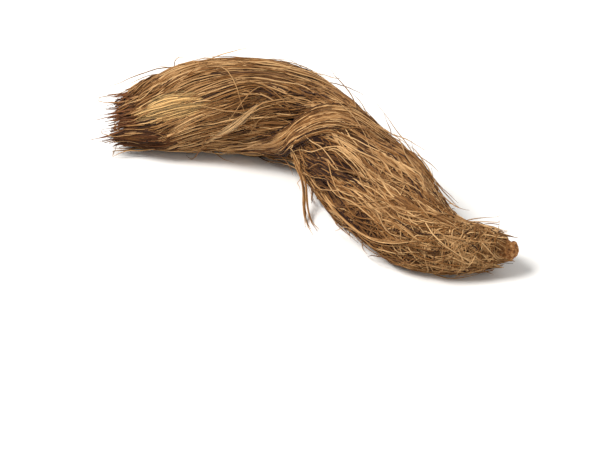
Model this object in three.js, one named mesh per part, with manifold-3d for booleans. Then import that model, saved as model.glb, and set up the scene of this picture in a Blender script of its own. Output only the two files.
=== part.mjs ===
// A dried spikenard root lying on a flat surface: a short woody rhizome whose tip shows at one
// end, clothed in a thick coat of the fibres that old leaf bases leave behind. The coat narrows
// to a felted neck at the tip and runs the other way into a combed tail with a ragged end.
// Locks of paler and darker fibre lie bedded in the tail, and loose fibres stand out all round.
// Millimetres, +Z up. The origin is in the flat spot that the belly rests on.
import * as THREE from "three";
import { mergeVertices } from "three/addons/utils/BufferGeometryUtils.js";
import Module from "manifold-3d";

const wasm = await Module();
wasm.setup();

// The coat's middle line from the tail's end to the neck's end. Each point has the coat's radius
// there and the height of its underside above the surface, below nought where it is pressed flat.
const SPINE = [
  { x: -62, y: -2.6, radius: 6.2, under: 0.2 },
  { x: -53, y: 2.4, radius: 9.4, under: -0.1 },
  { x: -41, y: 6.8, radius: 10.8, under: 1.6 },
  { x: -28, y: 11.0, radius: 10.5, under: 2.4 },
  { x: -16, y: 11.0, radius: 9.0, under: 1.6 },
  { x: -4, y: 4.4, radius: 9.5, under: 0 },
  { x: 8, y: -4.2, radius: 9.9, under: -0.8 },
  { x: 20, y: -11.2, radius: 8.6, under: -0.8 },
  { x: 32, y: -14.0, radius: 6.4, under: 0.3 },
  { x: 43, y: -9.5, radius: 3.9, under: 2.2 },
];

// The coat's surface
const COLUMNS = 48; // lines of fibre round the coat, by turns a ridge and a furrow
const ROWS = 42; // steps along it
const RIDGE_HEIGHT = 0.8; // a tall ridge's crest above the coat's mean surface
const RIDGE_LEAST = 0.45; // share of that which a low ridge has
const RIDGE_SWELL = 0.3; // share of its height that a ridge gains and loses along its way
const NET_HEIGHT = 0.4; // the felted net's knots above it, on the neck
const NECK = [0.74, 0.84]; // shares of the length between which the combed coat turns to felted net
const TWIST = 1.9; // radians that the fibres wind round the coat from the tail to the neck
const TWIST_END = 0.86; // share of the length where they stop winding
const WAVER = 0.045; // radians that one line of fibre strays to either side
const WAVES = 11; // radians of that waver along the whole length
const TAIL_RAGGED = 6; // most that one tail ridge reaches past another
const TAIL_FURROW = 0.3; // share of that which a furrow may reach
const TAIL_SHARE = 0.14; // share of the length that the ragged end is drawn out of
const TAIL_HOLLOW = 4; // how far the tail's end dips in between its fibres

// Lobes of the coat's section: the share of the radius that each stands out, how many there are
// round the coat, and the radians that they turn along its length
const LOBES = [
  [0.07, 2, -7],
  [0.05, 3, 16],
  [0.03, 1, 22],
];

// The rhizome's bare tip, seated in a plain hole in the neck
const TIP_RADIUS = 2.4;
const TIP_SHOWN = 5; // length outside the coat
const TIP_SEAT = 5; // length inside it
const TIP_COLUMNS = 20;
const TIP_ROWS = 16;
const TIP_SCAR = { share: 0.09, turn: 3.4 }; // ringed scars: share of the radius, radians a millimetre
const TIP_KNOB = { share: 0.1, round: 5, turn: 1.7 }; // knobs: share, number round it, radians a millimetre
const TIP_ROUNDED = 0.8; // how far the shown end closes in, from 0 to 1

// Loose fibres
const FIBRE_RADIUS = 0.46;
const FIBRE_TIP_RADIUS = 0.34;
const FIBRE_SUNK = 1.6; // how deep a fibre's root lies in the coat
const FIBRE_SIDES = 3;
const FIBRE_STEPS = 6;
const FIBRE_CURL = 1.4; // how late along it a fibre leaves the coat, from 1
const FLOOR_CLEAR = 0.7; // lowest that a loose fibre's middle line runs

// Where each zone's fibres leave the coat, as shares of its length, how long they are, how far
// their ends stand off it, how far they stray round it, and the share that points to the tail
const ZONES = [
  { name: "tail", count: 34, from: 0.03, to: 0.09, length: [6, 11], lift: [-2.5, 2.5], stray: 0.3, back: 1 },
  { name: "body", count: 34, from: 0.2, to: 0.74, length: [9, 20], lift: [0.6, 4.5], stray: 0.9, back: 0.6 },
  { name: "neck", count: 16, from: 0.78, to: 0.97, length: [3, 6], lift: [0.8, 2.2], stray: 1.4, back: 0.5 },
];

// Locks of fibre: the share of the length and the angle where each begins and ends, its width,
// and how many strands it has
const LOCKS = {
  golden_lock: { from: [0.045, 0.55], to: [0.235, 0.52], width: 5, strands: 6, colour: "#b98f58" },
  folded_lock: { from: [0.19, -0.61], to: [0.345, 0.68], width: 2, strands: 3, colour: "#b59468" },
  dark_lock: { from: [-0.02, -0.08], to: [0.165, -0.36], width: 5, strands: 6, colour: "#5a3a26" },
};
const LOCK_STRAND_RADIUS = 0.85;
const LOCK_STRAND_TIP = 0.45; // radius at a strand's ends
const LOCK_SIDES = 4;
const LOCK_STEPS = 9;
const LOCK_LEVEL = 0.6; // a strand's middle line above the coat's mean surface
const LOCK_CROWN = 0.4; // how far a lock's middle strands stand over its outer ones
const LOCK_GATHER = 0.5; // share of its width that a lock keeps at its ends
const LOCK_RAGGED = 0.14; // share of its length by which one strand's end may fall short
const KEEP_OUT = 0.4; // room that loose fibres leave round a lock

const GAP = 0.3; // between two pieces that touch
const SEED = 7;
const GOLDEN_ANGLE = Math.PI * (3 - Math.sqrt(5));

// Seeded random numbers from 0 to 1
function randomFrom(seed) {
  let state = seed;
  return () => {
    state = (state + 0x6d2b79f5) | 0;
    let t = Math.imul(state ^ (state >>> 15), 1 | state);
    t = (t + Math.imul(t ^ (t >>> 7), 61 | t)) ^ t;
    return ((t ^ (t >>> 14)) >>> 0) / 4294967296;
  };
}

const between = (low, high, share) => low + (high - low) * share;
const smooth = (low, high, value) => THREE.MathUtils.smoothstep(value, low, high);
const curveThrough = (points) => new THREE.CatmullRomCurve3(points, false, "catmullrom", 0.5);

const middleLine = curveThrough(SPINE.map((p) => new THREE.Vector3(p.x, p.y, p.radius + p.under)));
const radiusLine = curveThrough(SPINE.map((p, i) => new THREE.Vector3(i, p.radius, 0)));
const LENGTH = middleLine.getLength();

// The cross-section at a share u of the length: its centre, the way along, its own sideways and
// upward axes, and the coat's radius. Past either end the line runs on straight.
function sectionAt(u) {
  const inside = THREE.MathUtils.clamp(u, 0, 1);
  const along = middleLine.getTangent(inside);
  const centre = middleLine.getPoint(inside).addScaledVector(along, (u - inside) * LENGTH);
  const side = new THREE.Vector3(along.y, -along.x, 0).normalize();
  const up = new THREE.Vector3().crossVectors(side, along);
  return { centre, along, side, up, radius: radiusLine.getPoint(inside).y };
}

// A point of a section's plane, at a radius and an angle. Angle 0 faces the front, -Y, and a
// quarter turn is the top.
const aroundSection = (s, radius, angle) =>
  s.centre
    .clone()
    .addScaledVector(s.side, radius * Math.cos(angle))
    .addScaledVector(s.up, radius * Math.sin(angle));

// Angle that a fibre which starts at angle 0 at the tail has wound to at u.
const wound = (u) => TWIST * smooth(0, TWIST_END, u);

// A point at a height above the coat's mean surface, whose section is a little lobed.
function onCoat(u, angle, height) {
  const s = sectionAt(u);
  const lobes = LOBES.map(([share, round, along]) => share * Math.cos(round * angle + along * u));
  const uneven = lobes.reduce((sum, lobe) => sum + lobe, 1);
  return aroundSection(s, s.radius * uneven + height, angle);
}

const centreOf = (points) =>
  points.reduce((sum, p) => sum.add(p), new THREE.Vector3()).divideScalar(points.length);

// A closed solid through rings that hold the same number of points. Each end closes on a point.
function loft(rings, startPoint = centreOf(rings[0]), endPoint = centreOf(rings.at(-1))) {
  const n = rings[0].length;
  const points = rings.flat();
  const start = points.push(startPoint) - 1;
  const end = points.push(endPoint) - 1;
  const last = (rings.length - 1) * n;
  const faces = [];
  for (let j = 0; j < n; j++) {
    const k = (j + 1) % n;
    faces.push(start, k, j, end, last + j, last + k);
    for (let i = 0; i < last; i += n) {
      faces.push(i + j, i + k, i + n + j, i + k, i + n + k, i + n + j);
    }
  }
  return solidOf(new THREE.BufferGeometry().setFromPoints(points).setIndex(faces));
}

// A manifold solid of a closed, indexed geometry, with its faces turned outwards.
function solidOf(geometry) {
  const triVerts = new Uint32Array(geometry.index.array);
  const vertProperties = new Float32Array(geometry.getAttribute("position").array);
  const build = () => new wasm.Manifold(new wasm.Mesh({ numProp: 3, vertProperties, triVerts }));
  const made = build();
  if (made.volume() > 0) return made;
  for (let i = 0; i < triVerts.length; i += 3) {
    [triVerts[i + 1], triVerts[i + 2]] = [triVerts[i + 2], triVerts[i + 1]];
  }
  return build();
}

function geometryOf(solid) {
  const mesh = solid.getMesh();
  const geometry = new THREE.BufferGeometry();
  geometry.setAttribute("position", new THREE.BufferAttribute(new Float32Array(mesh.vertProperties), 3));
  geometry.setIndex(new THREE.BufferAttribute(new Uint32Array(mesh.triVerts), 1));
  geometry.computeVertexNormals();
  return geometry;
}

// Everything below the surface that the root lies on.
function ground() {
  const box = new THREE.BoxGeometry(2 * LENGTH, 2 * LENGTH, LENGTH).translate(0, 0, -LENGTH / 2);
  box.deleteAttribute("normal");
  box.deleteAttribute("uv");
  return solidOf(mergeVertices(box));
}

// The coat's combed body, ridged along its fibres, with a ragged tail and a felted neck.
function coatBody() {
  const random = randomFrom(SEED);
  const lines = Array.from({ length: COLUMNS }, (_, j) => ({
    angle: (2 * Math.PI * j) / COLUMNS,
    crest: j % 2 ? -1 : 1,
    size: between(RIDGE_LEAST, 1, random()),
    phase: 2 * Math.PI * random(),
    reach: (TAIL_RAGGED / LENGTH) * random() * (j % 2 ? TAIL_FURROW : 1),
  }));
  const rings = [];
  for (let i = 0; i <= ROWS; i++) {
    const u = i / ROWS;
    const net = smooth(...NECK, u);
    const atTail = 1 - smooth(0, TAIL_SHARE, u);
    const knot = i % 2 ? -NET_HEIGHT : NET_HEIGHT;
    rings.push(
      lines.map((line) => {
        const wave = Math.sin(line.phase + WAVES * u);
        const combed = line.crest * line.size * RIDGE_HEIGHT * (1 - RIDGE_SWELL * (1 - wave) / 2);
        const height = between(combed, line.crest * knot, net);
        return onCoat(u - line.reach * atTail, line.angle + WAVER * wave + wound(u), height);
      }),
    );
  }
  return loft(rings, sectionAt(TAIL_HOLLOW / LENGTH).centre);
}

// A closed tube along a curve, with a few sides and a radius that changes along it.
function strand(curve, sides, steps, radiusAt) {
  const rings = [];
  for (let i = 0; i <= steps; i++) {
    const t = i / steps;
    const along = curve.getTangent(t);
    const side = new THREE.Vector3(along.y, -along.x, 0).normalize();
    const up = new THREE.Vector3().crossVectors(side, along);
    const section = { centre: curve.getPoint(t), side, up };
    const corner = (_, k) => aroundSection(section, radiusAt(t), Math.PI / 2 + (2 * Math.PI * k) / sides);
    rings.push(Array.from({ length: sides }, corner));
  }
  return loft(rings);
}

// A loose fibre that leaves the coat at (u, angle), follows the comb for a length, forwards or
// back, and ends at a lift above the coat.
function looseFibre(u, angle, length, lift, stray) {
  const points = [0, 1 / 3, 2 / 3, 1].map((t) => {
    const v = u + (length / LENGTH) * t;
    const height = t ? RIDGE_HEIGHT + lift * t ** FIBRE_CURL : -FIBRE_SUNK;
    const p = onCoat(v, angle + wound(v) - wound(u) + stray * t * t, height);
    return p.setZ(Math.max(p.z, FLOOR_CLEAR));
  });
  const radiusAt = (t) => between(FIBRE_RADIUS, FIBRE_TIP_RADIUS, t);
  return strand(curveThrough(points), FIBRE_SIDES, FIBRE_STEPS, radiusAt);
}

// One zone's loose fibres, spread evenly round and along it.
function fibresOf(zone, random) {
  const pick = ([low, high]) => between(low, high, random());
  return Array.from({ length: zone.count }, (_, i) => {
    const u = between(zone.from, zone.to, (i + random()) / zone.count);
    const length = pick(zone.length) * (random() < zone.back ? -1 : 1);
    return looseFibre(u, i * GOLDEN_ANGLE, length, pick(zone.lift), zone.stray * (random() - 0.5));
  });
}

// A lock of strands lying side by side on the coat, gathered at both ends, which are ragged. A
// positive grow gives the room to keep clear round it.
function lockSolid(lock, grow = 0) {
  const random = randomFrom(SEED + lock.strands);
  const [u0, a0] = lock.from;
  const [u1, a1] = lock.to;
  const strands = Array.from({ length: lock.strands }, (_, k) => {
    const x = (2 * k) / (lock.strands - 1) - 1;
    const begins = LOCK_RAGGED * random();
    const ends = 1 - LOCK_RAGGED * random();
    const points = Array.from({ length: LOCK_STEPS + 1 }, (_, i) => {
      const t = between(begins, ends, i / LOCK_STEPS);
      const u = between(u0, u1, t);
      const spread = between(LOCK_GATHER, 1, Math.sin(Math.PI * t));
      const sideways = (x * spread * lock.width) / 2 / sectionAt(u).radius;
      return onCoat(u, between(a0, a1, t) + sideways, LOCK_LEVEL + LOCK_CROWN * (1 - x * x));
    });
    const radiusAt = (t) => between(LOCK_STRAND_TIP, LOCK_STRAND_RADIUS, Math.sin(Math.PI * t)) + grow;
    return strand(curveThrough(points), LOCK_SIDES, LOCK_STEPS, radiusAt);
  });
  return wasm.Manifold.union(strands);
}

// The rhizome along the neck's own axis, from a depth inside the coat to a length outside it,
// with ringed scars and knobs where it shows.
function rhizome(radius, inside, outside, rough) {
  const rings = [];
  for (let i = 0; i <= TIP_ROWS; i++) {
    const d = between(-inside, outside, i / TIP_ROWS);
    const shown = Math.max(0, d) / TIP_SHOWN;
    const rounded = Math.sqrt(1 - TIP_ROUNDED * shown ** 3);
    const s = sectionAt(1 + d / LENGTH);
    rings.push(
      Array.from({ length: TIP_COLUMNS }, (_, j) => {
        const angle = (2 * Math.PI * j) / TIP_COLUMNS;
        const scar = TIP_SCAR.share * Math.sin(TIP_SCAR.turn * d);
        const knob = TIP_KNOB.share * Math.cos(TIP_KNOB.round * angle + TIP_KNOB.turn * d);
        const lumps = rough * smooth(0, 1, d) * (scar + knob);
        return aroundSection(s, radius * rounded * (1 + lumps), angle);
      }),
    );
  }
  return loft(rings);
}

// The whole coat: its body with loose fibres fused in, cut flat where it rests, with a bed for
// each lock and the seat for the rhizome's tip.
function coat() {
  const random = randomFrom(SEED + 1);
  const locks = Object.values(LOCKS);
  const rooms = locks.map((lock) => lockSolid(lock, KEEP_OUT));
  const isClear = (one) => rooms.every((room) => one.intersect(room).isEmpty());
  const loose = ZONES.flatMap((zone) => fibresOf(zone, random)).filter(isClear);
  const beds = locks.map((lock) => lockSolid(lock, GAP));
  const seat = rhizome(TIP_RADIUS + GAP, TIP_SEAT + GAP, TIP_SHOWN / 2, 0);
  const fused = wasm.Manifold.union([coatBody(), ...loose]);
  return largest(wasm.Manifold.difference([fused, ...beds, seat, ground()]));
}

// A solid without the scraps that a cut leaves loose.
const largest = (solid) => solid.decompose().reduce((a, b) => (a.volume() > b.volume() ? a : b));

function named(name, solid, colour, roughness) {
  const material = new THREE.MeshStandardMaterial({ color: colour, roughness });
  const mesh = new THREE.Mesh(geometryOf(solid), material);
  mesh.name = name;
  return mesh;
}

const root = new THREE.Group();
root.add(named("fibre_coat", coat(), "#8f6a43", 0.85));
root.add(named("rhizome_tip", rhizome(TIP_RADIUS, TIP_SEAT, TIP_SHOWN, 1), "#96602f", 0.9));
for (const [name, lock] of Object.entries(LOCKS)) {
  root.add(named(name, lockSolid(lock).subtract(ground()), lock.colour, 0.8));
}

export default root;
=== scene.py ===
# A dried spikenard root lying on a flat surface, dressed fibre by fibre around its solids: a dark
# under-layer, locks of combed fibre that wind along it, a felted neck, a bare rusty tip, a frayed
# tail and loose fibres. Lengths are millimetres until a mesh is made, and meshes are in metres.
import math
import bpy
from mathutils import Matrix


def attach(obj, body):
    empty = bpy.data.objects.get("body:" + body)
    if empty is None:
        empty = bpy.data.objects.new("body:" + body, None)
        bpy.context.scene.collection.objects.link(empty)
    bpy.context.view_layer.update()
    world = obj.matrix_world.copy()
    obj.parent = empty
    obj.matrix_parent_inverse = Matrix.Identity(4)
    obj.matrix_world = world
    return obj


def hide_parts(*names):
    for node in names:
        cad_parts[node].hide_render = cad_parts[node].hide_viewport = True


bl_info = {
    "name": "Spikenard Root",
    "version": (1, 0, 0),
    "blender": (4, 5, 0),
    "location": "3D View > Sidebar > Root",
    "description": "Dresses a spikenard root with its fibres, locks and bark",
    "category": "Object",
}

import bpy
import numpy as np
from mathutils import Vector, noise

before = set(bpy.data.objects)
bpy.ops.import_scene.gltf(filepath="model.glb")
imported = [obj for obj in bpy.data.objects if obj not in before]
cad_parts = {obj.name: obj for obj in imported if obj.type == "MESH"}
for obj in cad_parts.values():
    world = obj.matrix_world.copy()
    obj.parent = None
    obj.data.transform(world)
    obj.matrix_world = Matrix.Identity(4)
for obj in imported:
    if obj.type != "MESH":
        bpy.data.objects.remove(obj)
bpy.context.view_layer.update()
MM = 0.001
GOLDEN_ANGLE = math.pi * (3 - math.sqrt(5))

# The coat's middle line from the tail's end to the neck's end, as in the solids: x, y, the coat's
# radius, and the height of its underside above the surface that it lies on.
SPINE = np.array(
    (
        (-62, -2.6, 6.2, 0.2),
        (-53, 2.4, 9.4, -0.1),
        (-41, 6.8, 10.8, 1.6),
        (-28, 11.0, 10.5, 2.4),
        (-16, 11.0, 9.0, 1.6),
        (-4, 4.4, 9.5, 0),
        (8, -4.2, 9.9, -0.8),
        (20, -11.2, 8.6, -0.8),
        (32, -14.0, 6.4, 0.3),
        (43, -9.5, 3.9, 2.2),
    )
)
MIDDLE = np.column_stack((SPINE[:, 0], SPINE[:, 1], SPINE[:, 2] + SPINE[:, 3]))
RADII = SPINE[:, 2:3]
TWIST = 1.9  # radians that the fibres wind round the coat from the tail to the neck
TWIST_END = 0.86  # share of the length where they stop winding
LOBES = ((0.07, 2, -7), (0.05, 3, 16), (0.03, 1, 22))  # share of the radius, number round, turn

# Where the three locks begin and end, as shares of the length and angles, their width, how far
# they crown, their fibres, how pale these are, and how raggedly they begin and end
GOLDEN_LOCK = {
    "start": (0.045, 0.55),
    "end": (0.235, 0.52),
    "width": 6.2,
    "crown": 1.0,
    "fibres": 190,
    "shade": 0.56,
    "ragged": 0.5,
}
FOLDED_LOCK = {
    "start": (0.19, -0.61),
    "end": (0.345, 0.68),
    "width": 2.3,
    "crown": 1.1,
    "fibres": 90,
    "shade": 0.56,
    "ragged": 0.34,
}
DARK_LOCK = {
    "start": (-0.02, -0.08),
    "end": (0.165, -0.36),
    "width": 6.0,
    "crown": 0.8,
    "fibres": 210,
    "shade": 0.45,
    "ragged": 0.4,
}

# Stretches of combed fibre: where the middles of their locks lie as shares of the length, the
# locks' length and width, how far they swing across the comb, the height of each fibre's own wave
# and the radians of it along a lock, and the share of the number of locks
STRETCHES = {
    "tail_end": {
        "from": (0.03, 0.12),
        "length": (9, 17),
        "width": (2.0, 3.6),
        "swing": 0.12,
        "wave": 0.1,
        "waves": 4,
        "share": 0.4,
    },
    "tail": {
        "from": (0.13, 0.33),
        "length": (22, 36),
        "width": (2.2, 4.2),
        "swing": 0.16,
        "wave": 0.16,
        "waves": 7,
        "share": 1,
    },
    "saddle": {
        "from": (0.26, 0.56),
        "length": (22, 40),
        "width": (2.0, 3.8),
        "swing": 0.34,
        "wave": 0.42,
        "waves": 10,
        "share": 1,
    },
    "body": {
        "from": (0.5, 0.86),
        "length": (24, 42),
        "width": (2.0, 3.6),
        "swing": 0.42,
        "wave": 0.6,
        "waves": 12,
        "share": 1,
    },
}
LOCK_RISE = (0.4, 1.1)  # how far a combed lock's middle stands above its ends
LOCK_THICK = 0.9  # and how deep its fibres lie on each other

# Numbers that set the random draws of each group of fibres apart
FELT_DRAW = 2
FRAY_DRAW = 3
LOOSE_DRAW = 4
FIRST_COMB_DRAW = 10

# Routes of the fibres that show singly: share of the length, angle and height above the coat
EDGING = ((0.58, -0.2, 0.6), (0.66, -0.23, 1.3), (0.76, -0.1, 1.5), (0.82, 0.05, 1.3), (0.87, 0.4, 0.8))
ARCHING = ((0.6, 0.75, 0.8), (0.63, 0.95, 1.7), (0.67, 1.02, 1.9), (0.7, 1.04, 1.4), (0.73, 1.0, 0.6))
# and of the lock that sweeps over the saddle
SWEEPING = (
    (0.2, -0.95, 0.4),
    (0.3, -0.65, 1.2),
    (0.4, -0.2, 1.9),
    (0.49, 0.6, 2.0),
    (0.57, 1.45, 1.5),
    (0.66, 1.95, 0.7),
)
# Points of the wisp that hangs from the saddle and comes to lie on the surface
HANGING = ((-17, 0.5, 9), (-10.5, -5.5, 6), (-7, -10.5, 2.2), (-4, -14, 0.5), (0, -17.5, 0.3))

RIDGES = (19, 31, 47, 61)  # numbers of ridges round the under-layer, which lie over each other
FRIZZ_SEED = 1.0
TAIL_TUFTS = 140
COLLAR_FIBRES = 260
FELTED_STRETCH = (0.7, 0.995)

# Painted shade, darker patches of the coat: share of the length and angle, reach along and round it, and
# depth
SHADED = (
    ((0.27, 0.6), (0.05, 0.4), 0.2),
    ((0.6, 0.5), (0.06, 0.35), 0.3),
    ((0.06, -0.1), (0.1, 0.4), 0.15),
    ((0.28, -0.15), (0.04, 0.25), 0.3),
    ((0.74, -0.4), (0.12, 0.5), 0.4),
)

# The camera looks from the right of the front and from above, and sees the frame's origin at this
# pixel of an image of this size.
IMAGE = (600, 474)
ORIGIN_PIXEL = (352, 204)
FLOOR_HALF = 4.0  # metres
WORLD_LIGHT = 0.36
# Area lights: place and size in metres, and power in watts
LIGHTS = {
    "key": {"place": (-0.35, -0.4, 0.75), "size": 0.4, "power": 11.0},
    "fill": {"place": (0.6, -0.5, 0.45), "size": 0.7, "power": 1.5},
    "back": {"place": (0.2, 0.7, 0.6), "size": 0.6, "power": 2.0},
}


def linear(colour):
    """An sRGB hex colour as linear red, green and blue."""
    values = [int(colour[i : i + 2], 16) / 255 for i in (1, 3, 5)]
    return tuple(v / 12.92 if v <= 0.04045 else ((v + 0.055) / 1.055) ** 2.4 for v in values)


def colour_property(name, description, colour):
    return bpy.props.FloatVectorProperty(
        name=name, description=description, subtype="COLOR", min=0, max=1, default=linear(colour)
    )


def size_property(name, description, millimetres):
    return bpy.props.FloatProperty(
        name=name, description=description, unit="LENGTH", precision=5, min=0, default=millimetres * MM
    )


def angle_property(name, description, degrees):
    return bpy.props.FloatProperty(
        name=name, description=description, subtype="ANGLE", default=math.radians(degrees)
    )


def count_property(name, description, count):
    return bpy.props.IntProperty(name=name, description=description, min=1, default=count)


class CoatSettings(bpy.types.PropertyGroup):
    """Sizes and colours of the fibre coat."""

    seed: count_property("Seed", "Fixes every random draw", 11)
    fibre: size_property("Fibre", "Diameter of a coat fibre", 0.36)
    locks: count_property("Locks", "Locks of combed fibre in each long stretch of the coat", 88)
    strands: count_property("Strands", "Fibres in each lock", 24)
    felt: count_property("Felt", "Short fibres felted on the neck", 3000)
    fray: count_property("Fray", "Fibres that fray out of the tail's end", 960)
    loose: count_property("Loose", "Loose fibres that stand off the coat", 300)
    under: colour_property("Under-layer", "The coat's shaded inside", "#24150a")
    dark: colour_property("Dark", "Darkest coat fibres", "#2c1204")
    mid: colour_property("Middle", "Most coat fibres", "#875a2c")
    pale: colour_property("Pale", "Palest coat fibres", "#d3a873")


class LockSettings(bpy.types.PropertyGroup):
    """Sizes and colours of the three locks."""

    golden: colour_property("Golden", "The golden lock", "#c79f66")
    folded: colour_property("Folded", "The pale folded lock", "#c9a272")
    dark: colour_property("Dark", "The dark red-brown lock and the tail's end", "#633c20")
    fibre: size_property("Fibre", "Diameter of a lock's fibres", 0.42)


class TipSettings(bpy.types.PropertyGroup):
    """Size and colours of the rhizome's bare tip."""

    radius: size_property("Radius", "Radius of the bare tip", 2.4)
    shown: size_property("Shown", "Length outside the coat", 5.0)
    bark: colour_property("Bark", "The bark's rusty ground", "#95602f")
    crack: colour_property("Cracks", "The bark's cracks and scars", "#331705")
    crust: colour_property("Crust", "Pale crust on the bark's knobs", "#d2a671")


class StageSettings(bpy.types.PropertyGroup):
    """Floor, light and camera."""

    floor: colour_property("Floor", "The pale floor", "#f1efeb")
    lens: bpy.props.FloatProperty(name="Lens", description="Focal length in mm", min=1, default=150)
    scale: bpy.props.FloatProperty(name="Scale", description="Pixels a millimetre", min=0.1, default=4.2)
    azimuth: angle_property("Azimuth", "Camera to the right of the front", 31)
    elevation: angle_property("Elevation", "Camera above the floor", 31)


class RootSettings(bpy.types.PropertyGroup):
    """All settings of the root."""

    coat: bpy.props.PointerProperty(type=CoatSettings)
    locks: bpy.props.PointerProperty(type=LockSettings)
    tip: bpy.props.PointerProperty(type=TipSettings)
    stage: bpy.props.PointerProperty(type=StageSettings)


# The coat's form


def between(low, high, share):
    return low + (high - low) * share


def smooth(low, high, value):
    """0 below low, 1 above high, and a smooth step between them."""
    t = np.clip((value - low) / (high - low), 0, 1)
    return t * t * (3 - 2 * t)


def through(points, u):
    """Points at shares u, from 0 to 1, of a smooth curve through the given points."""
    ends = np.vstack((2 * points[0] - points[1], points, 2 * points[-1] - points[-2]))
    place = np.clip(u, 0, 1) * (len(points) - 1)
    span = np.minimum(place.astype(int), len(points) - 2)
    t = (place - span)[..., None]
    p0, p1, p2, p3 = (ends[span + k] for k in range(4))
    cubic = 3 * (p1 - p2) + p3 - p0
    square = 2 * p0 - 5 * p1 + 4 * p2 - p3
    return p1 + 0.5 * t * (p2 - p0 + t * (square + t * cubic))


LENGTH = np.linalg.norm(np.diff(through(MIDDLE, np.linspace(0, 1, 400)), axis=0), axis=1).sum()


def unit(vectors):
    return vectors / np.linalg.norm(vectors, axis=-1, keepdims=True)


def section(u):
    """Centre, sideways axis, upward axis and radius of the coat at shares u of its length. Past
    either end the middle line runs on straight."""
    inside = np.clip(u, 0, 1)
    step = 0.0001
    along = unit(through(MIDDLE, inside + step) - through(MIDDLE, inside - step))
    centre = through(MIDDLE, inside) + along * ((u - inside) * LENGTH)[..., None]
    side = unit(np.stack((along[..., 1], -along[..., 0], np.zeros(u.shape)), axis=-1))
    return centre, side, np.cross(side, along), through(RADII, inside)[..., 0]


def on_coat(u, angle, height):
    """Points at heights above the coat's mean surface. Angle 0 faces the front, and a quarter turn
    is the top."""
    u, angle, height = np.broadcast_arrays(u, angle, height)
    centre, side, up, radius = section(u)
    uneven = 1 + sum(share * np.cos(count * angle + turn * u) for share, count, turn in LOBES)
    reach = radius * uneven + height
    return centre + (reach * np.cos(angle))[..., None] * side + (reach * np.sin(angle))[..., None] * up


def radius_at(u):
    return through(RADII, np.clip(u, 0, 1))[..., 0]


def wound(u):
    """Angle that a fibre which starts at angle 0 at the tail has wound to at u."""
    return TWIST * smooth(0, TWIST_END, u)


def taper(t, root, tip):
    """A fibre's thickness along it, thinner at its root and its tip."""
    return between(root, 1, smooth(0, 0.2, t)) * between(tip, 1, smooth(0, 0.35, 1 - t))


# Fibres: each group is an array of paths, their radii at each point, and a tint for each path


def combed(rng, locks, strands, form, fibre, tint):
    """Fibres that lie in locks along the comb of one stretch of the coat. A lock rises out of the
    coat, swings a little across the comb and sinks in again."""
    steps = 12
    t = np.linspace(0, 1, steps)
    shape = (locks, 1, 1)
    middle = between(*form["from"], (np.arange(locks) + rng.random(locks)) / locks).reshape(shape)
    length = between(*form["length"], rng.random(shape)) / LENGTH
    angle = (np.arange(locks) * GOLDEN_ANGLE).reshape(shape) + 0.5 * rng.random(shape)
    swing = form["swing"] * rng.normal(size=shape)
    rise = between(*LOCK_RISE, rng.random(shape))
    width = between(*form["width"], rng.random(shape))
    shade = 0.13 * rng.normal(size=shape)
    each = (locks, strands, 1)
    across = rng.normal(size=each) * 0.5
    depth = rng.random(each)
    begin = 0.3 * rng.random(each)
    end = 1 - 0.3 * rng.random(each)
    phase = 2 * np.pi * rng.random(each)
    along = between(begin, end, t)
    u = middle + length * (along - 0.5)
    gather = between(0.55, 1, np.sin(np.pi * along))
    wave = form["wave"] * np.sin(phase + form["waves"] * along * (0.7 + 0.6 * depth))
    sideways = across * width * gather + wave
    winding = angle + wound(u) + swing * (along - 0.5) + sideways / radius_at(u)
    height = rise * np.sin(np.pi * along) - 0.5 + LOCK_THICK * depth * gather
    paths = on_coat(u, winding, height).reshape(-1, steps, 3)
    radii = 0.5 * fibre * between(0.6, 1.25, rng.random(each)) * taper(t, 0.7, 0.35)
    # Painted shade: fibres that lie lower in their lock are darker, for the shade of the fibres above them.
    depth_shade = 0.5 * (depth - 0.84)  # the lower a fibre lies in its lock, the darker it is
    own = (shade + depth_shade + 0.2 * rng.normal(size=each))[..., 0]
    tints = tint(u.mean(axis=2), winding.mean(axis=2)) + own
    return paths, radii.reshape(-1, steps), tints.ravel()


def felted(rng, count, stretch, fibre, tint):
    """Short curly fibres that cross each other every way on one stretch of the coat."""
    steps = 9
    t = np.linspace(0, 1, steps)
    each = (count, 1)
    start = between(*stretch, rng.random(each) ** 0.85)
    angle = 2 * np.pi * rng.random(each)
    heading = rng.normal(size=each) * 0.95
    length = between(3, 8.5, rng.random(each))
    size = between(0.2, 0.9, rng.random(each))
    phase = 2 * np.pi * rng.random(each)
    curl = size * np.sin(phase + t * between(3, 8, rng.random(each)))
    u = start + (length * np.cos(heading) * (t - 0.5) + curl) / LENGTH
    around = (length * np.sin(heading) * (t - 0.5) - curl) / radius_at(u)
    height = between(-0.1, 0.75, rng.random(each)) + 0.35 * np.sin(np.pi * t) * rng.random(each)
    paths = on_coat(np.minimum(u, 1.02), angle + wound(u) + around, height)
    radii = 0.5 * fibre * between(0.5, 1.0, rng.random(each)) * taper(t, 0.5, 0.35)
    tints = tint(start, angle + wound(start))[:, 0] + 0.26 * rng.normal(size=count)
    return paths, radii, tints


def bristled(rng, count, fibre, shade):
    """Short stiff fibres round the neck's end that lie on the bare tip."""
    steps = 6
    t = np.linspace(0, 1, steps)
    each = (count, 1)
    start = between(0.955, 0.995, rng.random(each))
    u = start + between(2, 5.5, rng.random(each) ** 1.5) / LENGTH * t
    angle = (np.arange(count) * GOLDEN_ANGLE).reshape(each) + 0.3 * rng.normal(size=each) * t
    height = between(0.1, between(-1.3, -0.2, rng.random(each)), smooth(0, 0.9, t))
    radii = 0.5 * fibre * between(0.6, 1.2, rng.random(each)) * taper(t, 0.8, 0.4)
    return on_coat(u, angle, height), radii, shade + 0.2 * rng.normal(size=count)


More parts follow.
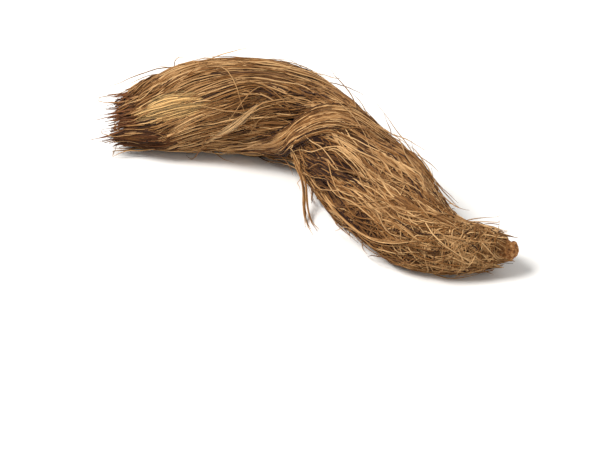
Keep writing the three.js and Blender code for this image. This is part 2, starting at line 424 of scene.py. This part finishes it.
def lock_of(rng, lock, fibre):
    """The fibres of one lock, which lie side by side and on each other from its start to its end."""
    count, ragged = lock["fibres"], lock["ragged"]
    steps = 18
    t = np.linspace(0, 1, steps)
    each = (count, 1)
    across = 2 * rng.random(each) - 1
    depth = rng.random(each)
    along = between(ragged * rng.random(each) - 0.08, 1.08 - ragged * rng.random(each), t)
    u = between(lock["start"][0], lock["end"][0], along)
    arch = np.sin(np.pi * np.clip(along, 0, 1))
    spread = between(0.5, 1, arch)
    waver = 0.16 * np.sin(2 * np.pi * rng.random(each) + 7 * along)
    sideways = (across * spread * lock["width"] / 2 + waver) / radius_at(u)
    angle = between(lock["start"][1], lock["end"][1], along) + sideways
    crown = lock["crown"] * np.sqrt(np.clip(1 - across**2, 0, 1)) * arch
    height = 0.35 + depth * (0.35 + crown)
    paths = on_coat(u, angle, height)
    radii = 0.5 * fibre * between(0.6, 1.2, rng.random(each)) * taper(t, 0.5, 0.35)
    # Painted shade: fibres towards the lock's edges, which lie lower than its crown, are darker.
    tints = lock["shade"] + 0.28 * rng.normal(size=count) - 0.12 * np.abs(across[:, 0])
    return paths, radii, tints


def frayed(rng, count, tufts, fibre, shade):
    """Fibres that leave the tail's end in tufts, from its middle to its rim, and end raggedly."""
    steps = 12
    t = np.linspace(0, 1, steps)
    each = (count, 1)
    tuft = np.arange(count) % tufts
    turn = (np.arange(tufts) * GOLDEN_ANGLE)[tuft].reshape(each)
    ring = np.sqrt(np.linspace(0.04, 1, tufts))[tuft].reshape(each)
    reach = between(-3.0, 3.0, rng.random(tufts))[tuft].reshape(each)
    splay = (0.9 * rng.normal(size=tufts))[tuft].reshape(each)
    start = between(0.03, 0.1, rng.random(each))
    end = -(reach + 1.7 * rng.normal(size=each)) / LENGTH
    u = between(start, end, t)
    angle = turn + between(0.12, 0.2, t) * rng.normal(size=each)
    inward = (ring - 1 + 0.06 * rng.normal(size=each)) * radius_at(u)
    height = np.minimum(inward, 0) + splay * t**1.8 + 0.5 * ring
    paths = on_coat(u, angle, height)
    radii = 0.5 * fibre * between(0.55, 1.25, rng.random(each)) * taper(t, 0.9, 0.5)
    top_light = 0.3 * np.maximum(np.sin(turn[:, 0]), 0)  # painted top light: the upper fibres are paler
    tints = shade + top_light + 0.14 * rng.normal(size=tufts)[tuft] + 0.2 * rng.normal(size=count)
    return paths, radii, tints


def strayed(rng, count, stretch, lengths, lifts, fibre, shade):
    """Loose fibres that leave the coat, follow its comb and stand off it towards their ends."""
    steps = 18
    t = np.linspace(0, 1, steps)
    each = (count, 1)
    start = between(*stretch, (np.arange(count).reshape(each) + rng.random(each)) / count)
    way = np.where(rng.random(each) < 0.5, -1, 1)
    length = way * between(*lengths, rng.random(each))
    u = np.clip(start + length / LENGTH * t, -0.05, 1.0)
    stray = 0.5 * rng.normal(size=each) * t**1.5
    curl = 0.08 * np.sin(2 * np.pi * rng.random(each) + 6 * t)
    angle = (np.arange(count) * GOLDEN_ANGLE).reshape(each) + wound(u) + stray + curl
    height = 0.5 + between(*lifts, rng.random(each) ** 2) * t**1.6 + 0.5 * np.sin(np.pi * t)
    paths = on_coat(u, angle, height)
    radii = 0.5 * fibre * between(0.6, 1.2, rng.random(each)) * taper(t, 0.8, 0.3)
    return paths, radii, shade + 0.15 * rng.normal(size=count)


def routed(rng, count, route, fibre, spread, shade, contrast):
    """Fibres along one route, given as share of the length, angle and height at each point."""
    steps = 22
    t = np.linspace(0, 1, steps)
    each = (count, 1)
    along = between(0.25 * rng.random(each), 1 - 0.3 * rng.random(each), t)
    u, angle, height = np.moveaxis(through(np.array(route, dtype=float), along), -1, 0)
    apart = spread * rng.normal(size=each) * between(0.4, 1, t)
    height = height + 0.4 * rng.random(each)
    paths = on_coat(u, angle + apart / radius_at(u), height)
    radii = 0.5 * fibre * between(0.7, 1.1, rng.random(each)) * taper(t, 0.7, 0.35)
    return paths, radii, shade + contrast * rng.normal(size=count)


def hung(rng, count, points, fibre, shade):
    """Fibres that hang free through the given points and come to lie on the surface."""
    steps = 22
    t = np.linspace(0, 1, steps)
    each = (count, 1)
    along = between(0.05 * rng.random(each), 1 - 0.35 * rng.random(each), t)
    apart = rng.normal(size=(count, 1, 3)) * np.array((1.3, 1.0, 0.5)) * between(0.3, 1, t)[:, None]
    paths = through(np.array(points, dtype=float), along) + apart
    radii = 0.5 * fibre * between(0.7, 1.1, rng.random(each)) * taper(t, 0.7, 0.35)
    return paths, radii, shade + 0.12 * rng.normal(size=count)


def coat_tint(u, angle):
    """How pale the coat's fibres are along it: dark at the tail's end and in the saddle, and darker in the
    patches of painted shade.
    """
    places = (0, 0.06, 0.2, 0.34, 0.46, 0.6, 0.75, 0.9, 1)
    shades = (0.34, 0.52, 0.67, 0.52, 0.42, 0.37, 0.46, 0.7, 0.68)
    tint = np.interp(u, places, shades) + 0.05 * np.sin(2 * angle + 9 * u)
    for (place, turn), (long, wide), depth in SHADED:
        off = (angle - turn + np.pi) % (2 * np.pi) - np.pi
        tint = tint - depth * np.exp(-(((u - place) / long) ** 2) - (off / wide) ** 2)
    return tint


# Meshes


def add(tree, kind, inputs=None, **settings):
    """Adds a node, with its settings, and links or sets its inputs."""
    node = tree.nodes.new(kind)
    for name, value in settings.items():
        setattr(node, name, value)
    for key, value in (inputs or {}).items():
        if isinstance(value, bpy.types.NodeSocket):
            tree.links.new(value, node.inputs[key])
        else:
            node.inputs[key].default_value = value
    return node


def fibre_tree():
    """Sweeps a few-sided tube along each line, frizzed by noise and kept above the surface."""
    tree = bpy.data.node_groups.get("Fibre sweep")
    if tree:
        return tree
    tree = bpy.data.node_groups.new("Fibre sweep", "GeometryNodeTree")
    sockets = {
        "Lines": "Geometry",
        "Sides": "Int",
        "Frizz": "Float",
        "Curl": "Float",
        "Seed": "Float",
        "Material": "Material",
    }
    for name, kind in sockets.items():
        tree.interface.new_socket(name, in_out="INPUT", socket_type="NodeSocket" + kind)
    tree.interface.new_socket("Fibres", in_out="OUTPUT", socket_type="NodeSocketGeometry")
    given = add(tree, "NodeGroupInput").outputs
    curve = add(tree, "GeometryNodeMeshToCurve", {"Mesh": given["Lines"]})
    strand = add(tree, "GeometryNodeInputNamedAttribute", {"Name": "strand"}, data_type="FLOAT")
    thick = add(tree, "GeometryNodeInputNamedAttribute", {"Name": "thick"}, data_type="FLOAT")
    place = add(tree, "GeometryNodeInputPosition")
    own = add(tree, "ShaderNodeMath", {0: strand.outputs[0], 1: given["Seed"]}, operation="ADD")
    fine = add(tree, "ShaderNodeMath", {0: 1.0, 1: given["Curl"]}, operation="DIVIDE")
    waves = {"Vector": place.outputs[0], "W": own.outputs[0], "Scale": fine.outputs[0], "Detail": 1.0}
    frizz = add(tree, "ShaderNodeTexNoise", waves, noise_dimensions="4D")
    middle = {0: frizz.outputs["Color"], 1: (0.5, 0.5, 0.5)}
    centred = add(tree, "ShaderNodeVectorMath", middle, operation="SUBTRACT")
    sized = {0: centred.outputs[0], "Scale": given["Frizz"]}
    shift = add(tree, "ShaderNodeVectorMath", sized, operation="SCALE")
    both = {0: place.outputs[0], 1: shift.outputs[0]}
    moved = add(tree, "ShaderNodeVectorMath", both, operation="ADD")
    parts = add(tree, "ShaderNodeSeparateXYZ", {0: moved.outputs[0]})
    floor = {0: parts.outputs["Z"], 1: thick.outputs[0]}
    lifted = add(tree, "ShaderNodeMath", floor, operation="MAXIMUM")
    raised = {"X": parts.outputs["X"], "Y": parts.outputs["Y"], "Z": lifted.outputs[0]}
    target = add(tree, "ShaderNodeCombineXYZ", raised)
    put = {"Geometry": curve.outputs[0], "Position": target.outputs[0]}
    laid = add(tree, "GeometryNodeSetPosition", put)
    ring = add(tree, "GeometryNodeCurvePrimitiveCircle", {"Resolution": given["Sides"], "Radius": 1.0})
    tube = {
        "Curve": laid.outputs[0],
        "Profile Curve": ring.outputs[0],
        "Scale": thick.outputs[0],
        "Fill Caps": True,
    }
    swept = add(tree, "GeometryNodeCurveToMesh", tube)
    real = add(tree, "GeometryNodeRealizeInstances", {0: swept.outputs[0]})
    finish = {"Geometry": real.outputs[0], "Material": given["Material"]}
    dressed = add(tree, "GeometryNodeSetMaterial", finish)
    add(tree, "NodeGroupOutput", {"Fibres": dressed.outputs[0]})
    return tree


def line_mesh(name, groups):
    """A mesh of open lines, one for each fibre, with its radius, its tint and a number of its own."""
    mesh = bpy.data.meshes.new(name)
    points = np.concatenate([paths.reshape(-1, 3) for paths, radii, tints in groups]) * MM
    thick = np.concatenate([radii.ravel() for paths, radii, tints in groups]) * MM
    tint = np.concatenate([np.repeat(tints, radii.shape[1]) for paths, radii, tints in groups])
    edges = []
    strand = []
    first = 0
    for paths, radii, tints in groups:
        count, steps = radii.shape
        index = first + np.arange(count * steps).reshape(count, steps)
        edges.append(np.stack((index[:, :-1], index[:, 1:]), axis=-1).reshape(-1, 2))
        strand.append(np.repeat(first + 0.37 * np.arange(count), steps))
        first += count * steps
    edges = np.concatenate(edges)
    mesh.vertices.add(len(points))
    mesh.vertices.foreach_set("co", points.ravel())
    mesh.edges.add(len(edges))
    mesh.edges.foreach_set("vertices", edges.ravel())
    for label, values in (("thick", thick), ("tint", tint), ("strand", np.concatenate(strand))):
        mesh.attributes.new(label, "FLOAT", "POINT").data.foreach_set("value", values.astype(np.float32))
    mesh.update()
    return mesh


def fibre_piece(name, groups, material, frizz, curl, sides=3):
    """A piece made of fibres: lines swept by the fibre tree and turned to a plain mesh."""
    lines = line_mesh(name + "_lines", groups)
    piece = bpy.data.objects.new(name, lines)
    bpy.context.collection.objects.link(piece)
    sweep = piece.modifiers.new("Fibres", "NODES")
    sweep.node_group = fibre_tree()
    values = {
        "Sides": sides,
        "Frizz": frizz * MM,
        "Curl": curl * MM,
        "Seed": FRIZZ_SEED,
        "Material": material,
    }
    for item in sweep.node_group.interface.items_tree:
        if item.name in values:
            sweep[item.identifier] = values[item.name]
    depsgraph = bpy.context.evaluated_depsgraph_get()
    mesh = bpy.data.meshes.new_from_object(
        piece.evaluated_get(depsgraph), preserve_all_data_layers=True, depsgraph=depsgraph
    )
    piece.modifiers.clear()
    piece.data = mesh
    mesh.name = name
    bpy.data.meshes.remove(lines)
    mesh.shade_smooth()
    return piece


def ring_piece(name, rings, start, end, material):
    """A closed piece through rings of points, with a point at either end."""
    rows, columns = rings.shape[:2]
    points = np.vstack((rings.reshape(-1, 3), start, end)) * MM
    here = np.arange(rows * columns).reshape(rows, columns)
    beside = np.roll(here, -1, axis=1)
    quads = np.stack((here[:-1], here[1:], beside[1:], beside[:-1]), axis=-1).reshape(-1, 4)
    caps = [(rows * columns, i, j) for i, j in zip(here[0], beside[0])]
    caps += [(rows * columns + 1, j, i) for i, j in zip(here[-1], beside[-1])]
    mesh = bpy.data.meshes.new(name)
    mesh.from_pydata(points.tolist(), [], [tuple(map(int, f)) for f in quads.tolist() + caps])
    mesh.update()
    mesh.materials.append(material)
    mesh.shade_smooth()
    piece = bpy.data.objects.new(name, mesh)
    bpy.context.collection.objects.link(piece)
    return piece


def ridden(piece, slot, *nodes):
    """Fixes a finished piece to the root's one body and hides the solids that it stands for; the slot is not
    used.
    """
    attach(piece, "root")
    if nodes:
        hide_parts(*nodes)


# Materials


def fibre_material(name, dark, mid, pale):
    """Dry plant fibre, combed but never dyed: a matt strand with a faint waxy sheen. Each fibre has
    a tint of its own, and its colour drifts along it where it is worn or dusty."""
    material = bpy.data.materials.new(name)
    material.use_nodes = True
    tree = material.node_tree
    shader = tree.nodes["Principled BSDF"]
    shader.inputs["IOR"].default_value = 1.5
    shader.inputs["Specular IOR Level"].default_value = 0.16
    shader.inputs["Sheen Weight"].default_value = 0.04
    tint = add(tree, "ShaderNodeAttribute", attribute_name="tint")
    place = add(tree, "ShaderNodeTexCoord").outputs["Object"]
    drift_mm = 5.0
    dusted = {"Vector": place, "Scale": 1 / (drift_mm * MM), "Detail": 4.0, "Roughness": 0.65}
    drift = add(tree, "ShaderNodeTexNoise", dusted)
    drifting = {0: drift.outputs["Fac"], 1: 0.5, 2: tint.outputs["Fac"]}
    worn = add(tree, "ShaderNodeMath", drifting, operation="MULTIPLY_ADD")
    shade = add(tree, "ShaderNodeMath", {0: worn.outputs[0], 1: 0.25}, operation="SUBTRACT")
    ramp = add(tree, "ShaderNodeValToRGB", {"Fac": shade.outputs[0]})
    ramp.color_ramp.elements[0].color = (*dark, 1)
    ramp.color_ramp.elements[0].position = 0.08
    ramp.color_ramp.elements[1].color = (*pale, 1)
    ramp.color_ramp.elements[1].position = 0.95
    ramp.color_ramp.elements.new(0.5).color = (*mid, 1)
    tree.links.new(ramp.outputs["Color"], shader.inputs["Base Color"])
    gloss = add(tree, "ShaderNodeMapRange", {"Value": drift.outputs["Fac"], "To Min": 0.52, "To Max": 0.77})
    tree.links.new(gloss.outputs[0], shader.inputs["Roughness"])
    grain_mm = 0.22  # coarser than a fibre's own grain, so that it shows
    grain = add(tree, "ShaderNodeTexNoise", {"Vector": place, "Scale": 1 / (grain_mm * MM)})
    relief = {"Height": grain.outputs["Fac"], "Strength": 0.25, "Distance": 0.05 * MM}
    bump = add(tree, "ShaderNodeBump", relief)
    tree.links.new(bump.outputs[0], shader.inputs["Normal"])
    return material


def scaled(colour, share):
    return tuple(min(1, c * share) for c in colour)


def coat_fibre(settings):
    """The coat's own fibre, from dark brown to pale tan. One material serves every coat piece."""
    found = bpy.data.materials.get("combed_brown_fibre")
    coat = settings.coat
    return found or fibre_material("combed_brown_fibre", coat.dark, coat.mid, coat.pale)


def lock_fibre(name, colour, shadow):
    """Bleached fibre of a pale lock; its darkest fibres are darker by the given share, and these also carry
    the painted shade at the lock's edges.
    """
    return fibre_material(name, scaled(colour, shadow), colour, scaled(colour, 1.3))


def dark_fibre(settings):
    """Old fibre that has turned red-brown, from much darker to much paler fibres, which also carry the
    painted shade at the dark lock's edges and the painted top light of the tail's fray.
    """
    found = bpy.data.materials.get("dark_red_brown_fibre")
    ground = settings.locks.dark
    if found:
        return found
    return fibre_material("dark_red_brown_fibre", scaled(ground, 0.3), ground, scaled(ground, 2.0))


def under_layer_material(colour):
    """Packed fibre in the coat's depth, dull and streaked along the comb by its own ridges, and painted a
    near-black brown for the shade among the fibres over it.
    """
    material = bpy.data.materials.new("packed_fibre_painted_shade")
    material.use_nodes = True
    tree = material.node_tree
    shader = tree.nodes["Principled BSDF"]
    shader.inputs["Specular IOR Level"].default_value = 0.2
    place = add(tree, "ShaderNodeTexCoord").outputs["Object"]
    clot_mm = 1.6
    clotted = {"Vector": place, "Scale": 1 / (clot_mm * MM), "Detail": 5.0}
    clots = add(tree, "ShaderNodeTexNoise", clotted)
    ramp = add(tree, "ShaderNodeValToRGB", {"Fac": clots.outputs["Fac"]})
    ramp.color_ramp.elements[0].color = (*scaled(colour, 0.4), 1)
    ramp.color_ramp.elements[0].position = 0.3
    ramp.color_ramp.elements[1].color = (*scaled(colour, 1.8), 1)
    ramp.color_ramp.elements[1].position = 0.75
    tree.links.new(ramp.outputs["Color"], shader.inputs["Base Color"])
    gloss = add(tree, "ShaderNodeMapRange", {"Value": clots.outputs["Fac"], "To Min": 0.75, "To Max": 0.95})
    tree.links.new(gloss.outputs[0], shader.inputs["Roughness"])
    relief = {"Height": clots.outputs["Fac"], "Strength": 0.6, "Distance": 0.4 * MM}
    bump = add(tree, "ShaderNodeBump", relief)
    tree.links.new(bump.outputs[0], shader.inputs["Normal"])
    return material


def bark_material(tip):
    """Dried rhizome bark: crusty and rusty, with dark cracks between paler worn plates."""
    material = bpy.data.materials.new("rusty_rhizome_bark")
    material.use_nodes = True
    tree = material.node_tree
    shader = tree.nodes["Principled BSDF"]
    shader.inputs["Specular IOR Level"].default_value = 0.3
    place = add(tree, "ShaderNodeTexCoord").outputs["Object"]
    crust_mm = 0.9
    crusted = {"Vector": place, "Scale": 1 / (crust_mm * MM), "Detail": 6.0, "Roughness": 0.7}
    crust = add(tree, "ShaderNodeTexNoise", crusted)
    ramp = add(tree, "ShaderNodeValToRGB", {"Fac": crust.outputs["Fac"]})
    ramp.color_ramp.elements[0].color = (*tip.crack, 1)
    ramp.color_ramp.elements[0].position = 0.34
    ramp.color_ramp.elements[1].color = (*tip.crust, 1)
    ramp.color_ramp.elements[1].position = 0.72
    ramp.color_ramp.elements.new(0.5).color = (*tip.bark, 1)
    tree.links.new(ramp.outputs["Color"], shader.inputs["Base Color"])
    gloss = add(tree, "ShaderNodeMapRange", {"Value": crust.outputs["Fac"], "To Min": 0.65, "To Max": 0.95})
    tree.links.new(gloss.outputs[0], shader.inputs["Roughness"])
    relief = {"Height": crust.outputs["Fac"], "Strength": 0.8, "Distance": 0.3 * MM}
    bump = add(tree, "ShaderNodeBump", relief)
    tree.links.new(bump.outputs[0], shader.inputs["Normal"])
    return material


def floor_material(colour):
    """Matt painted board: pale and even, with a faint unevenness."""
    material = bpy.data.materials.new("pale_matt_floor")
    material.use_nodes = True
    tree = material.node_tree
    shader = tree.nodes["Principled BSDF"]
    shader.inputs["Specular IOR Level"].default_value = 0.2
    shader.inputs["Base Color"].default_value = (*colour, 1)
    place = add(tree, "ShaderNodeTexCoord").outputs["Object"]
    haze_mm = 60.0
    haze = add(tree, "ShaderNodeTexNoise", {"Vector": place, "Scale": 1 / (haze_mm * MM)})
    gloss = add(tree, "ShaderNodeMapRange", {"Value": haze.outputs["Fac"], "To Min": 0.8, "To Max": 0.95})
    tree.links.new(gloss.outputs[0], shader.inputs["Roughness"])
    return material


# Operators, one for each piece or group of like pieces


class RootOperator:
    bl_options = {"REGISTER", "UNDO"}


class ROOT_OT_under_layer(RootOperator, bpy.types.Operator):
    """Make the coat's packed under-layer, ridged along the comb"""

    bl_idname = "root.under_layer"
    bl_label = "Under-layer"

    def execute(self, context):
        coat = context.scene.spikenard.coat
        rng = np.random.default_rng(coat.seed)
        rows, columns = 230, 168
        depth = 0.75
        u = np.linspace(0, 1, rows)[:, None]
        angle = np.linspace(0, 2 * np.pi, columns, endpoint=False)[None, :]
        ridges = np.zeros((rows, columns))
        ridge_high = 0.13
        for count in RIDGES:
            phase = 2 * np.pi * rng.random()
            ridges += ridge_high * np.sin(count * angle + phase + 2.2 * np.sin(7 * u + phase))
        rings = on_coat(u, angle + wound(u), ridges - depth)
        lowest = 0.02
        rings[..., 2] = np.maximum(rings[..., 2], lowest)
        hollow = on_coat(np.array(0.05), 0.0, -radius_at(np.array(0.05)))
        neck = on_coat(np.array(1.005), 0.0, -radius_at(np.array(1.0)))
        piece = ring_piece("packed_under_layer", rings, hollow, neck, under_layer_material(coat.under))
        ridden(piece, "coat_fibre", "fibre_coat")
        return {"FINISHED"}


class ROOT_OT_comb(RootOperator, bpy.types.Operator):
    """Comb locks of fibre along the tail, the saddle and the body"""

    bl_idname = "root.comb"
    bl_label = "Combed fibres"

    def execute(self, context):
        settings = context.scene.spikenard
        coat = settings.coat
        fibre = coat.fibre / MM
        for number, (place, stretch) in enumerate(STRETCHES.items()):
            rng = np.random.default_rng([coat.seed, FIRST_COMB_DRAW + number])
            locks = round(coat.locks * stretch["share"])
            group = combed(rng, locks, coat.strands, stretch, fibre, coat_tint)
            name = "combed_fibres_" + place
            piece = fibre_piece(name, [group], coat_fibre(settings), frizz=0.75, curl=4.0)
            ridden(piece, "coat_fibre")
        return {"FINISHED"}


class ROOT_OT_neck_felt(RootOperator, bpy.types.Operator):
    """Felt short fibres on the neck, up to the bare tip"""

    bl_idname = "root.neck_felt"
    bl_label = "Neck felt"

    def execute(self, context):
        settings = context.scene.spikenard
        coat = settings.coat
        rng = np.random.default_rng([coat.seed, FELT_DRAW])
        group = felted(rng, coat.felt, FELTED_STRETCH, coat.fibre / MM, coat_tint)
        collar = bristled(rng, COLLAR_FIBRES, 0.9 * coat.fibre / MM, shade=0.5)
        piece = fibre_piece("neck_felt", [group, collar], coat_fibre(settings), frizz=0.5, curl=2.0)
        ridden(piece, "coat_fibre")
        return {"FINISHED"}


class ROOT_OT_locks(RootOperator, bpy.types.Operator):
    """Lay the golden, the folded and the dark lock in their beds"""

    bl_idname = "root.locks"
    bl_label = "Locks"

    def execute(self, context):
        settings = context.scene.spikenard
        locks = settings.locks
        seed = settings.coat.seed
        fibre = locks.fibre / MM
        golden = lock_fibre("golden_straw_fibre", locks.golden, 0.2)
        pale = lock_fibre("pale_folded_fibre", locks.folded, 0.25)
        made = (
            ("golden_lock", GOLDEN_LOCK, golden, "golden_fibre"),
            ("folded_lock", FOLDED_LOCK, pale, "pale_fibre"),
            ("dark_lock", DARK_LOCK, dark_fibre(settings), "dark_fibre"),
        )
        for name, lock, material, slot in made:
            rng = np.random.default_rng([seed, lock["fibres"]])
            group = lock_of(rng, lock, fibre)
            piece = fibre_piece(name + "_fibres", [group], material, frizz=0.35, curl=5.0)
            ridden(piece, slot, name)
        return {"FINISHED"}


class ROOT_OT_tail_fray(RootOperator, bpy.types.Operator):
    """Fray the tail's end"""

    bl_idname = "root.tail_fray"
    bl_label = "Tail fray"

    def execute(self, context):
        settings = context.scene.spikenard
        coat = settings.coat
        rng = np.random.default_rng([coat.seed, FRAY_DRAW])
        group = frayed(rng, coat.fray, TAIL_TUFTS, coat.fibre / MM, shade=0.5)
        piece = fibre_piece("tail_fray", [group], dark_fibre(settings), frizz=0.8, curl=5.0)
        ridden(piece, "dark_fibre")
        return {"FINISHED"}


class ROOT_OT_loose(RootOperator, bpy.types.Operator):
    """Add loose fibres over the coat and those that hang from the saddle"""

    bl_idname = "root.loose"
    bl_label = "Loose fibres"

    def execute(self, context):
        settings = context.scene.spikenard
        coat = settings.coat
        fibre = 0.8 * coat.fibre / MM
        rng = np.random.default_rng([coat.seed, LOOSE_DRAW])
        long = {"stretch": (0.06, 0.95), "lengths": (9, 26), "lifts": (0.2, 4.5), "shade": 0.62}
        short = {"stretch": (0.8, 0.99), "lengths": (3, 8), "lifts": (0.2, 1.8), "shade": 0.66}
        groups = [
            strayed(rng, coat.loose, fibre=fibre, **long),
            strayed(rng, coat.loose // 4, fibre=0.8 * fibre, **short),
        ]
        piece = fibre_piece("loose_fibres", groups, coat_fibre(settings), frizz=1.4, curl=7.0)
        ridden(piece, "coat_fibre")
        groups = [
            hung(rng, 9, HANGING, fibre, shade=0.62),
            routed(rng, 10, EDGING, fibre, spread=0.45, shade=0.78, contrast=0.12),
            routed(rng, 9, ARCHING, fibre, spread=0.7, shade=0.85, contrast=0.12),
            routed(rng, 150, SWEEPING, 1.1 * fibre, spread=2.5, shade=0.42, contrast=0.3),
        ]
        material = coat_fibre(settings)
        piece = fibre_piece("hanging_fibres", groups, material, frizz=0.9, curl=6.0, sides=4)
        ridden(piece, "coat_fibre")
        return {"FINISHED"}


class ROOT_OT_tip(RootOperator, bpy.types.Operator):
    """Make the rhizome's bare tip, with its knobs, scars and crust"""

    bl_idname = "root.tip"
    bl_label = "Rhizome tip"

    def execute(self, context):
        tip = context.scene.spikenard.tip
        shown = tip.shown / MM
        rows, columns = 90, 110
        seat = 3.0
        crust_wide, crust_high = 0.9, 0.28
        bulge = 0.3  # of the end beyond the last ring
        d = np.linspace(-seat, shown, rows)[:, None]
        angle = np.linspace(0, 2 * np.pi, columns, endpoint=False)[None, :]
        bare = np.maximum(d, 0) / shown
        rounded = np.sqrt(np.maximum(1 - 0.8 * bare**3, 0))
        scars = 0.09 * np.sin(3.4 * d) + 0.1 * np.cos(5 * angle + 1.7 * d)
        reach = tip.radius / MM * rounded * (1 + smooth(0, 1, d) * scars)
        centre, side, up, _ = section(1 + d / LENGTH)
        out = np.cos(angle)[..., None] * side + np.sin(angle)[..., None] * up
        rings = centre + reach[..., None] * out
        spots = rings.reshape(-1, 3) / crust_wide
        crust = np.array([noise.fractal(Vector(spot), 1.0, 2.0, 4) for spot in spots]).reshape(rows, columns)
        rings = rings + (crust_high * crust * smooth(-1, 0.5, d))[..., None] * out
        start = section(np.array(1 - seat / LENGTH))[0]
        end = section(np.array(1 + (shown + bulge) / LENGTH))[0]
        piece = ring_piece("rhizome_bark", rings, start, end, bark_material(tip))
        ridden(piece, "rhizome_bark", "rhizome_tip")
        return {"FINISHED"}


class ROOT_OT_stage(RootOperator, bpy.types.Operator):
    """Set the floor, the lights and the camera"""

    bl_idname = "root.stage"
    bl_label = "Stage"

    def execute(self, context):
        stage = context.scene.spikenard.stage
        mesh = bpy.data.meshes.new("floor")
        ways = ((-1, -1), (1, -1), (1, 1), (-1, 1))
        corners = [(x * FLOOR_HALF, y * FLOOR_HALF, 0) for x, y in ways]
        mesh.from_pydata(corners, [], [(0, 1, 2, 3)])
        mesh.materials.append(floor_material(stage.floor))
        floor = bpy.data.objects.new("floor", mesh)
        context.collection.objects.link(floor)
        for name, given in LIGHTS.items():
            lamp = bpy.data.lights.new(name, "AREA")
            lamp.size = given["size"]
            lamp.energy = given["power"]
            light = bpy.data.objects.new(name, lamp)
            light.location = given["place"]
            light.rotation_euler = (-light.location).to_track_quat("-Z", "Y").to_euler()
            context.collection.objects.link(light)
        world = bpy.data.worlds.new("pale_studio")
        world.use_nodes = True
        sky = world.node_tree.nodes["Background"]
        sky.inputs["Color"].default_value = (1, 1, 1, 1)
        sky.inputs["Strength"].default_value = WORLD_LIGHT
        context.scene.world = world
        context.scene.view_settings.view_transform = "Standard"
        self.add_camera(context, stage)
        return {"FINISHED"}

    def add_camera(self, context, stage):
        data = bpy.data.cameras.new("camera")
        data.lens = stage.lens
        data.clip_start = 0.01
        camera = bpy.data.objects.new("camera", data)
        context.collection.objects.link(camera)
        a, e = stage.azimuth, stage.elevation
        back = Vector((math.sin(a) * math.cos(e), -math.cos(a) * math.cos(e), math.sin(e)))
        right = Vector((math.cos(a), math.sin(a), 0))
        up = back.cross(right)
        pixels = stage.scale / MM
        across = (ORIGIN_PIXEL[0] - IMAGE[0] / 2) / pixels
        high = (IMAGE[1] / 2 - ORIGIN_PIXEL[1]) / pixels
        distance = data.lens / data.sensor_width * IMAGE[0] / pixels
        camera.location = back * distance - right * across - up * high
        camera.rotation_mode = "QUATERNION"
        camera.rotation_quaternion = (-back).to_track_quat("-Z", "Y")
        context.scene.camera = camera


MAKERS = (
    ROOT_OT_stage,
    ROOT_OT_under_layer,
    ROOT_OT_comb,
    ROOT_OT_neck_felt,
    ROOT_OT_locks,
    ROOT_OT_tail_fray,
    ROOT_OT_loose,
    ROOT_OT_tip,
)


class ROOT_PT_panel(bpy.types.Panel):
    """Lists the root's pieces"""

    bl_idname = "ROOT_PT_panel"
    bl_label = "Spikenard Root"
    bl_space_type = "VIEW_3D"
    bl_region_type = "UI"
    bl_category = "Root"

    def draw(self, context):
        for maker in MAKERS:
            self.layout.operator(maker.bl_idname)


CLASSES = (CoatSettings, LockSettings, TipSettings, StageSettings, RootSettings, *MAKERS, ROOT_PT_panel)


def register():
    for cls in CLASSES:
        bpy.utils.register_class(cls)
    bpy.types.Scene.spikenard = bpy.props.PointerProperty(type=RootSettings)


def unregister():
    del bpy.types.Scene.spikenard
    for cls in reversed(CLASSES):
        bpy.utils.unregister_class(cls)


def main():
    register()
    for maker in MAKERS:
        group, name = maker.bl_idname.split(".")
        getattr(getattr(bpy.ops, group), name)()


if __name__ == "__main__":
    main()
